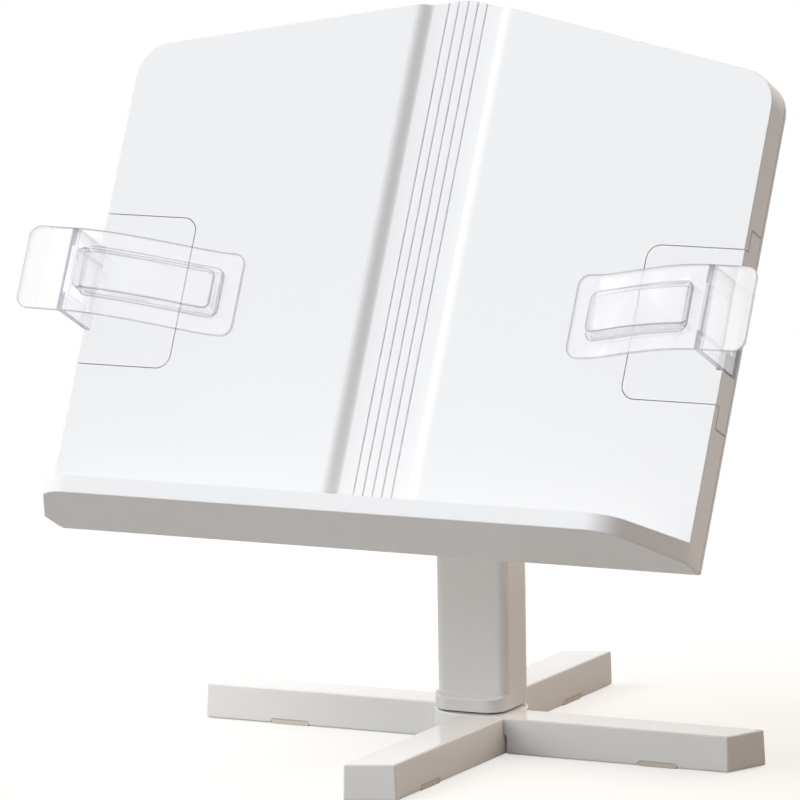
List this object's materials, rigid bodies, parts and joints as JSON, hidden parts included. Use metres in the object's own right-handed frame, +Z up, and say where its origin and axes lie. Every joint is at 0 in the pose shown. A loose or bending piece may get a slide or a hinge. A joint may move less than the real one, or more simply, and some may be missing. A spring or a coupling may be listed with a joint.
{
  "type": "book stand",
  "caption": "Tilting book stand: a reclined board with a deep shelf and clear sprung page clips on pull-out slides, on a telescoping column over a folding cross base.",
  "frame": {"origin": "on the desk surface, on the swivel axis, at the middle of the foot under the hub", "axes": "+Z up along the column, +X to the reader's right along the board's width, the board faces -Y"},
  "size_m": [0.42, 0.3526, 0.3976],
  "materials": {
    "white_plastic": "satin",
    "clear_plastic": "clear",
    "foot_rubber": "matte",
    "steel": "brushed",
    "brass": "satin",
    "nylon": "matte",
    "fibre": "matte"
  },
  "bodies": {
    "base": {"upper_leg": "white_plastic", "upper_leg_feet": "foot_rubber", "pivot_bolt": "steel", "pivot_nut": "steel", "swivel_washer": "nylon"},
    "folding_leg": {"lower_leg": "white_plastic", "lower_leg_feet": "foot_rubber", "hub_foot": "foot_rubber", "lap_washer": "nylon"},
    "column": {"lower_column": "white_plastic", "guide_sleeve": "white_plastic", "thread_insert": "brass"},
    "clamp_knob": {"height_knob": "white_plastic"},
    "mast": {"upper_column": "white_plastic", "guide_shoe": "nylon", "hinge_head": "white_plastic"},
    "board": {"front_shell": "white_plastic", "rear_cover": "white_plastic", "cover_screws": "steel", "tilt_bracket": "white_plastic", "bracket_screws": "steel", "tilt_bolt": "steel", "tilt_nut": "steel", "friction_washers": "fibre"},
    "left_slide_body": {"left_slider": "white_plastic", "left_clip_pin": "steel", "left_clip_spring": "steel"},
    "right_slide_body": {"right_slider": "white_plastic", "right_clip_pin": "steel", "right_clip_spring": "steel"},
    "left_page_clip": {"left_clip": "clear_plastic"},
    "right_page_clip": {"right_clip": "clear_plastic"}
  },
  "joints": [
    {"name": "leg_fold", "type": "hinge", "parent": "base", "child": "folding_leg", "pos_m": [0, 0, 0.0099], "axis": [0, 0, 1], "range_deg": [-90, 0]},
    {"name": "column_swivel", "type": "hinge", "parent": "base", "child": "column", "pos_m": [0, 0, 0.0202], "axis": [0, 0, 1], "continuous": true},
    {"name": "height_slide", "type": "slide", "parent": "column", "child": "mast", "axis": [0, 0, 1], "range_m": [0, 0.06]},
    {"name": "clamp_turn", "type": "hinge", "parent": "column", "child": "clamp_knob", "pos_m": [0, 0.0218, 0.1722], "axis": [0, 1, 0], "range_deg": [0, 360]},
    {"name": "board_tilt", "type": "hinge", "parent": "mast", "child": "board", "pos_m": [0, -0.014, 0.2752], "axis": [-1, 0, 0], "range_deg": [-25, 60]},
    {"name": "right_slide", "type": "slide", "parent": "board", "child": "right_slide_body", "axis": [1, 0, 0], "range_m": [0, 0.045]},
    {"name": "left_slide", "type": "slide", "parent": "board", "child": "left_slide_body", "axis": [-1, 0, 0], "range_m": [0, 0.045]},
    {"name": "right_clip_hinge", "type": "hinge", "parent": "right_slide_body", "child": "right_page_clip", "pos_m": [0.18, -0.07624, 0.2427], "axis": [0, 0.4493, 0.8934], "range_deg": [0, 40], "stiffness_Nm_per_rad": 0.15, "springref_deg": -20.05},
    {"name": "left_clip_hinge", "type": "hinge", "parent": "left_slide_body", "child": "left_page_clip", "pos_m": [-0.18, -0.07624, 0.2427], "axis": [0, -0.4493, -0.8934], "range_deg": [0, 40], "stiffness_Nm_per_rad": 0.15, "springref_deg": -20.05}
  ]
}
